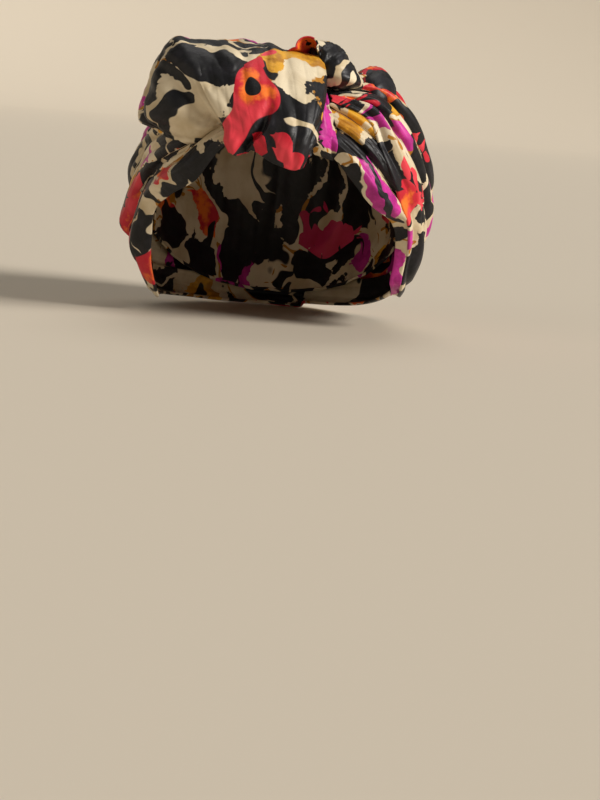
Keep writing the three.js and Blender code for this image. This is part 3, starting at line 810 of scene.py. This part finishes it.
def gathered(grid, seed):
    """A wrap's cloth, which keeps its full width where the wrap is drawn narrow, in folds along it."""
    s, w = patch_of(grid)
    width = length_of(np.diff(grid, axis=1)).sum(axis=1)
    spare = np.clip(0.95 * width.max() / width - 1, LEAST_SPARE, MOST_SPARE)[:, None]
    spare = spare * (1 + 0.6 * noise(seed, 5, 3, s, w))
    return settle(grid, CENTRE, spare, hold=HEM_HOLD * smooth(0.05 - w, 0, 0.05))


def add_wrap(name, wrap):
    grid, hidden = wrap_grid(wrap)
    grid = gathered(grid, wrap["seed"] + 40)
    grid = with_fine_folds(refined(grid), wrap["seed"] + 60, (23, 43), (0.35, 0.2))
    hidden = np.repeat(np.repeat(hidden, 2, 0), 2, 1)[:-1, :-1]
    add_layer(name, grid, wrap["print"], hidden)


# --- knot

KNOT_AZIMUTH, KNOT_FOOT, KNOT_TOP = (-17, 18.5), (24, 16.5), 45  # its sides, its foot at each, its top
KNOT_RISE, KNOT_SEAT, KNOT_FOLDS = 19, 3, 4
KNOT_OVER = 0.92  # how far round the knot's bulge goes from foot to top, where 1 comes down to the head


def knot_grid(rows, columns):
    """A bundle of upright folds, round from side to side and from foot to top."""
    s, w = patch(rows, columns)
    d = direction(lerp(*KNOT_AZIMUTH, w), lerp(lerp(*KNOT_FOOT, w), KNOT_TOP, s))
    across = (4 * w * (1 - w)) ** 0.3
    length = np.sin(np.pi * KNOT_OVER * s) ** 0.5
    fold = 0.56 + 0.44 * pillow(w * KNOT_FOLDS + 0.25 * noise(400, 3, 2, s, w))
    swell = across * length * fold
    wrinkle = gathers(410, s, w, (9,), (0.8,), drift=0.8) * across
    return on_head(d, KNOT_SEAT + KNOT_RISE * swell + wrinkle * length)


def add_knot():
    grid = settle(knot_grid(60, 64), CENTRE, 0.12, sink=3, rise=2)
    grid = with_fine_folds(refined(grid), 430, (19,), (0.2,))
    add_layer("knot_cloth", grid, (7.0, 0.1, 0.0))


# --- puffs

# A puff swells round its centre. The outline is its front view, in rows of angle in degrees and
# reach. Front and back are its depths, and power and back_power how square it is there. The cloth
# covers spread degrees round a pole, and is drawn in at the pinch. From there run its creases: angle,
# width, depth and length, and its gathers, gather_step degrees apart. Pleats go round its back: step
# in degrees and depth. Rims are dents between two angles, at a share of the reach, with a depth.
# Print is its radius as the print wraps it, and its place on the print.
RIGHT_PUFF = {
    "centre": (-38, -50, -18),
    "outline": [
        (0, 40), (50, 36), (75, 31), (100, 29.5), (118, 34), (130, 39.5), (152, 39.5), (176, 41),
        (192, 45), (202, 46.5), (211, 41), (225, 37), (245, 35), (272, 30), (315, 32),
    ],
    "front": 44,
    "back": 44,
    "power": 2.5,
    "back_power": 2.3,
    "pole": (-0.4, -0.6, 0.7),
    "spread": 112,
    "pinch": (-24, -92, -46),
    "pinch_depth": 8,
    "creases": [(-38, 9, 5, 1.9), (-4, 9, 3.5, 1.6), (30, 9, 4, 1.5)],
    "gather": 3.0,
    "gather_step": 17,
    "pleats": (17, 1.6),
    "rims": [(140, 222, 0.90, 2.2), (95, 150, 0.84, 1.2)],
    "seed": 500,
    "spare": 0.05,
    "cells": 75,
    "flat": (0.12, 0.11),
}
# What the two small puffs share.
SMALL_PUFF = {"power": 2.3, "back_power": 1.7, "pinch_depth": 2, "gather_step": 21}
LEFT_PUFF = {
    **SMALL_PUFF,
    "centre": (26, -42, 0),
    "outline": [
        (10, 14), (40, 12), (66, 14), (88, 16.5), (110, 19), (124, 21), (180, 17), (225, 13),
        (262, 10.5), (320, 14), (340, 19),
    ],
    "front": 34,
    "back": 32,
    "pole": (0.1, -0.6, 0.8),
    "spread": 118,
    "pinch": (14, -78, -4),
    "creases": [(24, 8, 3.2, 1.7), (-14, 8, 2.6, 1.5), (62, 9, 2, 1.5)],
    "gather": 2.0,
    "pleats": (23, 1.4),
    "rims": [(20, 80, 0.86, 1.4)],
    "seed": 540,
    "spare": 0.07,
    "cells": 60,
    "flat": (0.07, 0.06),
    "print": (27, (25.66, 0.1, 0.0)),
}
SIDE_PUFF = {
    **SMALL_PUFF,
    "centre": (49, -16, -11),
    "outline": [(0, 15), (44, 16), (64, 17), (82, 17), (124, 15), (180, 14), (270, 14)],
    "front": 32,
    "back": 28,
    "pole": (0.3, -0.3, 0.9),
    "spread": 108,
    "pinch": (36, -44, -8),
    "creases": [(0, 10, 2, 1.5)],
    "gather": 1.4,
    "pleats": (27, 1.3),
    "rims": [(20, 110, 0.86, 1.6)],
    "seed": 580,
    "spare": 0.08,
    "cells": 50,
    "flat": (0.05, 0.045),
    "print": (20.6, (18.85, 0.0, 0.0)),
}
RIM_SOFTNESS, RIM_WIDTH = 18, 0.022  # how soft a rim's ends are in degrees, and its width as a share


def reach_at(outline, angle):
    """A closed outline's reach at an angle, as a smooth curve through rows of angle and reach."""
    rows = np.array(outline, float)
    laps = np.concatenate([rows - (360, 0), rows, rows + (360, 0)])
    turn = np.mod(angle, 360)
    i = np.clip(np.searchsorted(laps[:, 0], turn, side="right") - 1, 1, len(laps) - 3)
    a, b, c, d = (laps[i + k] for k in (-1, 0, 1, 2))
    span = c[..., 0] - b[..., 0]
    m0 = (c[..., 1] - a[..., 1]) / (c[..., 0] - a[..., 0]) * span
    m1 = (d[..., 1] - b[..., 1]) / (d[..., 0] - b[..., 0]) * span
    x = (turn - b[..., 0]) / span
    rise = c[..., 1] - b[..., 1]
    return b[..., 1] + x * (m0 + x * (3 * rise - 2 * m0 - m1 + x * (m0 + m1 - 2 * rise)))


def dome_directions(puff, i, j):
    """Directions that cover the dome round a puff's pole, from a square grid with no seam."""
    pole, side, top = axes_of(puff["pole"])
    u, v = 2 * i - 1, 2 * j - 1
    x, y = u * np.sqrt(1 - v * v / 2), v * np.sqrt(1 - u * u / 2)
    angle, turn = np.radians(puff["spread"]) * np.hypot(x, y), np.arctan2(y, x)
    return (
        np.cos(angle)[..., None] * pole
        + (np.sin(angle) * np.cos(turn))[..., None] * side
        + (np.sin(angle) * np.sin(turn))[..., None] * top
    )


def puff_radius(puff, d):
    """How far a puff's smooth form reaches from its centre."""
    reach = reach_at(puff["outline"], np.degrees(np.arctan2(d[..., 2], d[..., 0])))
    depth = np.where(d[..., 1] < 0, puff["front"], puff["back"])
    power = lerp(puff["power"], puff["back_power"], smooth(d[..., 1], 0, 0.8))
    total = (np.hypot(d[..., 0], d[..., 2]) / reach) ** power + np.abs(d[..., 1] / depth) ** power
    return total ** (-1 / power)


def pinch_cuts(puff, d, i, j):
    """How far a puff is cut in at its pinch, and by the creases and gathers that run out from it."""
    seed = puff["seed"]
    pinch = unit(np.subtract(puff["pinch"], puff["centre"]).astype(float))
    pinch_side = unit(np.cross(pinch, axes_of(puff["pole"])[0]))
    pinch_top = np.cross(pinch_side, pinch)
    near = np.arccos(np.clip(d @ pinch, -1, 1))
    around = np.degrees(np.arctan2(d @ pinch_side, d @ pinch_top))
    cut = puff["pinch_depth"] * np.exp(-((near / 0.45) ** 2))
    for middle, width, deep, length in puff["creases"]:
        away = np.mod(around - middle + 540, 360) - 180 + 9 * noise(seed + 3, 5, 5, i, j)
        lane = np.exp(-((away / width) ** 2))
        cut = cut + deep * lane * smooth(near, 0.1, 0.5) * smooth(length - near, 0, 0.8)
    phase = around / puff["gather_step"] + 1.1 * noise(seed + 1, 5, 5, i, j)
    fade = smooth(near, 0.05, 0.3) * np.exp(-near / 0.9)
    cut = cut + puff["gather"] * fade * (1 - pillow(phase))
    finer = 1 - pillow(2.3 * phase + noise(seed + 2, 7, 7, i, j))
    return cut + puff["gather"] * 0.4 * np.exp(-near / 1.4) * finer


def puff_grid(puff):
    i, j = patch(puff["cells"], puff["cells"])
    seed = puff["seed"]
    d = dome_directions(puff, i, j)
    cut = pinch_cuts(puff, d, i, j)
    flatness = np.hypot(d[..., 0], d[..., 2])
    turn = np.degrees(np.arctan2(d[..., 2], d[..., 0])) % 360
    step, deep = puff["pleats"]
    pleats = 1 - pillow(turn / step + 0.9 * noise(seed + 8, 5, 5, i, j))
    cut = cut + deep * pleats * smooth(d[..., 1], -0.35, 0.35) * smooth(flatness, 0.15, 0.6)
    wander = 0.02 * noise(seed + 7, 6, 6, i, j)
    for low, high, place, deep in puff["rims"]:
        window = smooth(turn, low, low + RIM_SOFTNESS) * smooth(-turn, -high, -high + RIM_SOFTNESS)
        cut = cut + deep * window * np.exp(-(((flatness - place - wander) / RIM_WIDTH) ** 2))
    cut = cut - 0.7 * noise(seed + 4, 8, 8, i, j)
    return np.array(puff["centre"], float) + d * (puff_radius(puff, d) - cut)[..., None]


def add_puff(name, puff, print_form=None):
    """A puff of cloth that swells out of the layers below; returns its grid."""
    centre = np.array(puff["centre"], float)
    seed = puff["seed"]
    print_form = print_form or (puff["centre"], puff["pole"], *puff["print"])
    grid = puff_grid(puff)
    spare = puff["spare"] * (1 + 0.5 * noise(seed + 6, 5, 5, *patch_of(grid)))
    grid = settle(
        grid, centre, spare, spare, folds_along=0, steps=140, sink=2.5, rise=2.0, pull=0.006, bend=0.10
    )
    grid = with_fine_folds(refined(grid), seed + 10, (9, 21), (0.3, 0.15), centre)
    keep = clear_of(grid, below, 0.0)
    piece = cloth_piece(name, grid, print_round(grid, *print_form), keep, centre)
    finish_piece(piece)
    return grid


# --- tail

# Rows from the crest to the brow: the tail's right edge, its fold's ridge, its left edge, and its bow.
TAIL_RIGHT = [
    (-30, -8, 5), (-45, -32, 10), (-54, -58, 10.5), (-53, -80, 5), (-50, -92, -6),
    (-42, -98, -20), (-33, -101, -33), (-32, -102, -42), (-29, -100, -49),
]
TAIL_RIDGE = [
    (0, -8, 6), (8, -34, 9), (15, -56, 9), (19, -71, 6), (20.5, -86, -6),
    (18, -100, -20), (15.5, -107, -33), (13.5, -109, -43), (12.5, -107, -53),
]
TAIL_LEFT = [
    (4, -8, 6), (13, -34, 6), (20, -52, 4), (22, -66, -1), (23, -80, -9),
    (22, -94, -21), (20, -100, -33), (19, -101, -42), (16, -100, -52),
]
TAIL_BOW = [0, 0.5, 0.5, 2, 3, 4, 4, 3, 2]
TAIL_HEM = [1.6, 0.2, 4.4, 4.0, 1.6, -0.4, -1.2, -1.7, 0]  # how far the hem is raised, right to left
TAIL_FOLD_BOW, TAIL_FOLD_HEM = 1.2, 9.0  # how far the folded edge bows out, and rises at the hem
TAIL_CREST = (3.6, (0.2, 0.62), (0.16, 0.13))  # a mound where the tail comes over the crest
# The front panel's edge lies over the small lobe: a step across the tail, from the hem's notch up.
LOBE_STEP, LOBE_STEP_ACROSS, LOBE_STEP_LENGTH = 5.6, (0.19, 0.52), 0.40
LOBE_STEP_WIDTH, LOBE_STEP_SOFTNESS = 0.05, (1.3, 0.35)  # its width, and how soft it is on each side
LOBE_SWELL, LOBE_MIDDLE, LOBE_WIDTH = 2.4, 0.085, 0.06
TAIL_EDGE_DROP, TAIL_EDGE_WIDTH = 2.2, 0.03  # how far the right edge rounds down
TAIL_ROWS, TAIL_COLUMNS, TAIL_FOLD_COLUMNS = 90, 70, 14

# Centre, pole, radius and place on the print of the tail and the right puff, which share one cloth.
TAIL_PRINT = ((-20, -45, -20), (0.1, -0.8, 0.6), 50, (17.62, 0.0, 0.0))


def tail_relief(s, w):
    """How far the tail's folds, step and lobe stand out from its smooth form."""
    up = np.clip((1 - s) / LOBE_STEP_LENGTH, 0, 1)
    away = (w - lerp(*LOBE_STEP_ACROSS, up)) / LOBE_STEP_WIDTH
    step = np.exp(-((away / np.where(away < 0, *LOBE_STEP_SOFTNESS)) ** 2))
    crease = LOBE_STEP * step * (1 - smooth(up, 0.6, 1.0))
    lobe = LOBE_SWELL * np.exp(-(((w - LOBE_MIDDLE) / LOBE_WIDTH) ** 2)) * smooth(s, 0.7, 0.95)
    folds = gathers(600, s, w, (4, 9), (2.0, 0.7), drift=0.9) * (0.5 + 0.5 * s)
    soft = 1.3 * noise(640, 5, 3, s, w) + lobe
    edge = TAIL_EDGE_DROP * (1 - np.sqrt(1 - np.clip(1 - w / TAIL_EDGE_WIDTH, 0, 1) ** 2))
    return folds + soft - crease - edge


def tail_grid():
    """The tail's front panel, and the narrow strip that its folded edge turns back on its left."""
    s = np.linspace(0, 1, TAIL_ROWS + 1)
    right, ridge, left = (along(line, s)[:, None, :] for line in (TAIL_RIGHT, TAIL_RIDGE, TAIL_LEFT))
    w = np.linspace(0, 1, TAIL_COLUMNS + 1)[None, :, None]
    out = unit((right + ridge) / 2 - CENTRE)
    bow = along(np.array(TAIL_BOW)[:, None], s)[:, None, :]
    front = lerp(right, ridge, w) + out * bow * (4 * w * (1 - w)) ** 0.8
    front = front + out * mound(s[:, None, None], w, *TAIL_CREST)
    hem = along(np.array(TAIL_HEM)[:, None], w[0, :, 0])[None, :, 0]
    front[..., 2] += smooth(s, 0.75, 1)[:, None] * hem
    x = np.linspace(0, 1, TAIL_FOLD_COLUMNS + 1)[None, 1:, None]
    fold = lerp(ridge, left, x) + TAIL_FOLD_BOW * unit(left - CENTRE) * (4 * x * (1 - x))
    fold[..., 2] += smooth(s, 0.78, 1)[:, None] * TAIL_FOLD_HEM * x[..., 0] ** 1.5
    grid = np.concatenate([front, fold], axis=1)
    grid = grid + unit(grid - CENTRE) * tail_relief(*patch_of(grid))[..., None]
    # Smoothed twice all over, and then only near the ridge.
    ridge_near = np.exp(-(((np.arange(grid.shape[1]) - TAIL_COLUMNS) / 4) ** 2))[None, 1:-1, None]
    for share in (1.0,) * 2 + (ridge_near,) * 8:
        grid[:, 1:-1] += share * (grid[:, :-2] - 2 * grid[:, 1:-1] + grid[:, 2:]) / 4
    return grid


def add_tail(right_puff):
    """The tail, which grows out of the right puff and hangs over the knot."""
    grid = tail_grid()
    s, w = patch_of(grid)
    spare = 0.02 + 0.05 * s * (1 + 0.8 * noise(650, 3, 3, s, w))
    grid = settle(grid, CENTRE, spare, rise=2, sink=2.5)
    grid = with_fine_folds(refined(grid), 660, (11,), (0.25,))
    # Its upper right edge and its top go down into the layers below.
    s, w = patch_of(grid)
    pressed = np.maximum(smooth(0.13 - w, 0, 0.11) * smooth(0.62 - s, 0, 0.14), smooth(0.09 - s, 0, 0.09))
    puff_tree = tree_of(right_puff)
    tail = laid_over(grid, [*below, puff_tree], pressed)
    tail = with_rolled_edge(tail, 1, True, 1.5, 170, 7, taper=36)
    tail = with_rolled_edge(tail, 0, True, 0.9, 130, 5)
    # What lies hidden in the right puff is left out, and near the crest what lies hidden in the layers.
    crest = slice(0, len(tail) // 4)
    keep = clear_of(tail, [puff_tree], 0.4)
    keep[crest] &= clear_of(tail[crest], below, 0.4)
    piece = cloth_piece("tail_cloth", tail, print_round(tail, *TAIL_PRINT), keep)
    finish_piece(piece)
    below.append(tree_of(tail))


# --- crest roll

CREST_RADIUS, CREST_FRONT, CREST_BACK = 6.2, np.array((10.2, -72, 13.4)), np.array((17.0, -40, 5))
CREST_TURN, CREST_FEET, CREST_LIP = 98, (9.0, 4.5), 2.2  # half its turn in degrees, its feet, its slant
CREST_THROAT, CREST_TALL = 0.42, 1.08  # how narrow it is behind its mouth, and how tall for its width
CREST_ARCH = 0.7  # the share of its width that stands up; the rest is its feet


def crest_grid(rows, columns):
    """A fold that stands up from the cloth as an eye, round above, and how far each point is in its feet."""
    axis = unit(CREST_BACK - CREST_FRONT)
    side = unit(np.cross(axis, (0, 0, 1)))
    top = np.cross(side, axis)
    s, w = patch(rows, columns)
    t = 2 * w - 1
    radius = CREST_RADIUS * lerp(1, CREST_THROAT, smooth(s, 0, 0.5)) * (1 + 0.10 * noise(700, 3, 4, s, w))
    turn = np.radians(CREST_TURN) * np.clip(t / CREST_ARCH, -1, 1)
    foot = np.clip((np.abs(t) - CREST_ARCH) / (1 - CREST_ARCH), 0, 1)
    across = radius * np.sin(turn) + np.sign(t) * np.where(t < 0, *CREST_FEET) * foot
    rise = CREST_TALL * radius * np.cos(turn)
    mouth = CREST_FRONT + CREST_LIP * (rise / CREST_RADIUS)[..., None] * axis
    run = (CREST_BACK - mouth) * s[..., None]
    return mouth + run + side * across[..., None] + top * rise[..., None], foot


def add_crest_roll(left_puff):
    """The crest roll, whose feet go down into the tail and the left puff."""
    grid, foot = crest_grid(50, 80)
    arm = grid - CENTRE
    reach = length_of(arm)
    ground = heights_below(arm / reach[..., None], [*below, tree_of(left_puff)]) - 1.0
    reach_on_ground = lerp(reach, ground, smooth(foot, 0, 0.8))
    grid = CENTRE + arm * (reach_on_ground / reach)[..., None]
    middle = (CREST_FRONT + CREST_BACK) / 2
    grid = with_rolled_edge(grid, 0, False, 0.6, 150, 5, middle)
    keep = clear_of(grid, below, 0.0)
    piece = cloth_piece("crest_roll_cloth", grid, print_from_patch(grid, (20.41, 0.0, 0.0)), keep, middle)
    finish_piece(piece)


# --- floor and light

FLOOR_GAP = 0.0008  # from the lowest solid down to the floor
FLOOR_MIDDLE, FLOOR_REACH, FLOOR_BEND = 0.02, 6.5, 1.7  # radii of its middle face, its flat part, its bend
FLOOR_SIDES, FLOOR_STEPS = 72, 16


def plain_material(name, colour, roughness):
    material = bpy.data.materials.new(name)
    material.use_nodes = True
    shader = material.node_tree.nodes["Principled BSDF"]
    shader.inputs["Base Color"].default_value = (*colour, 1)
    shader.inputs["Roughness"].default_value = roughness
    return material


def make_floor():
    """A round pale floor whose rim curves up into a backdrop on every side."""
    level = cad_box[0][2] - FLOOR_GAP
    profile = [(FLOOR_MIDDLE, level), (FLOOR_REACH, level)]
    for k in range(1, FLOOR_STEPS + 1):
        turn = math.radians(90 * k / FLOOR_STEPS)
        profile.append((FLOOR_REACH + FLOOR_BEND * math.sin(turn), level + FLOOR_BEND * (1 - math.cos(turn))))
    angles = [2 * math.pi * k / FLOOR_SIDES for k in range(FLOOR_SIDES)]
    points = np.array([(r * math.cos(a), r * math.sin(a), z) for r, z in profile for a in angles]) / MM
    faces = [tuple(range(FLOOR_SIDES))]
    for row in range(len(profile) - 1):
        inner, outer = row * FLOOR_SIDES, (row + 1) * FLOOR_SIDES
        for k in range(FLOOR_SIDES):
            after = (k + 1) % FLOOR_SIDES
            faces.append((inner + k, outer + k, outer + after, inner + after))
    floor = mesh_of("floor", points, faces, 0 * points)
    floor.data.materials.append(plain_material("pale_floor", (0.62, 0.55, 0.45), 0.8))


def soft_light(name, place, spread_angle, strength, colour):
    """Light on the object from far off, as soft as a lamp that looks spread_angle degrees wide."""
    data = bpy.data.lights.new(name, "SUN")
    data.angle, data.energy, data.color = math.radians(spread_angle), strength, colour
    light = add_object(name, data)
    light.location = place
    light.rotation_euler = (-Vector(place)).to_track_quat("-Z", "Y").to_euler()


def make_world():
    world = bpy.data.worlds.new("studio")
    world.use_nodes = True
    inputs = world.node_tree.nodes["Background"].inputs
    inputs["Color"].default_value = (0.95, 0.9, 0.82, 1)
    inputs["Strength"].default_value = 0.15
    bpy.context.scene.world = world


# --- the scarf and its stage

add_crown()
add_wrap("right_wrap_cloth", RIGHT_WRAP)
add_wrap("left_front_wrap_cloth", LEFT_FRONT_WRAP)
add_wrap("left_rear_wrap_cloth", LEFT_REAR_WRAP)
add_knot()
right_puff = add_puff("right_puff_cloth", RIGHT_PUFF, TAIL_PRINT)
add_tail(right_puff)
left_puff = add_puff("left_puff_cloth", LEFT_PUFF)
add_puff("side_puff_cloth", SIDE_PUFF)
add_crest_roll(left_puff)

make_floor()
soft_light("key", (3.7, -1.7, 2.1), 22, 4.0, (1.0, 0.96, 0.9))
soft_light("fill", (-3.0, -2.6, 1.9), 30, 0.2, (1.0, 0.93, 0.84))
soft_light("top", (0.2, 1.1, 2.6), 40, 0.6, (1.0, 0.97, 0.92))
make_world()
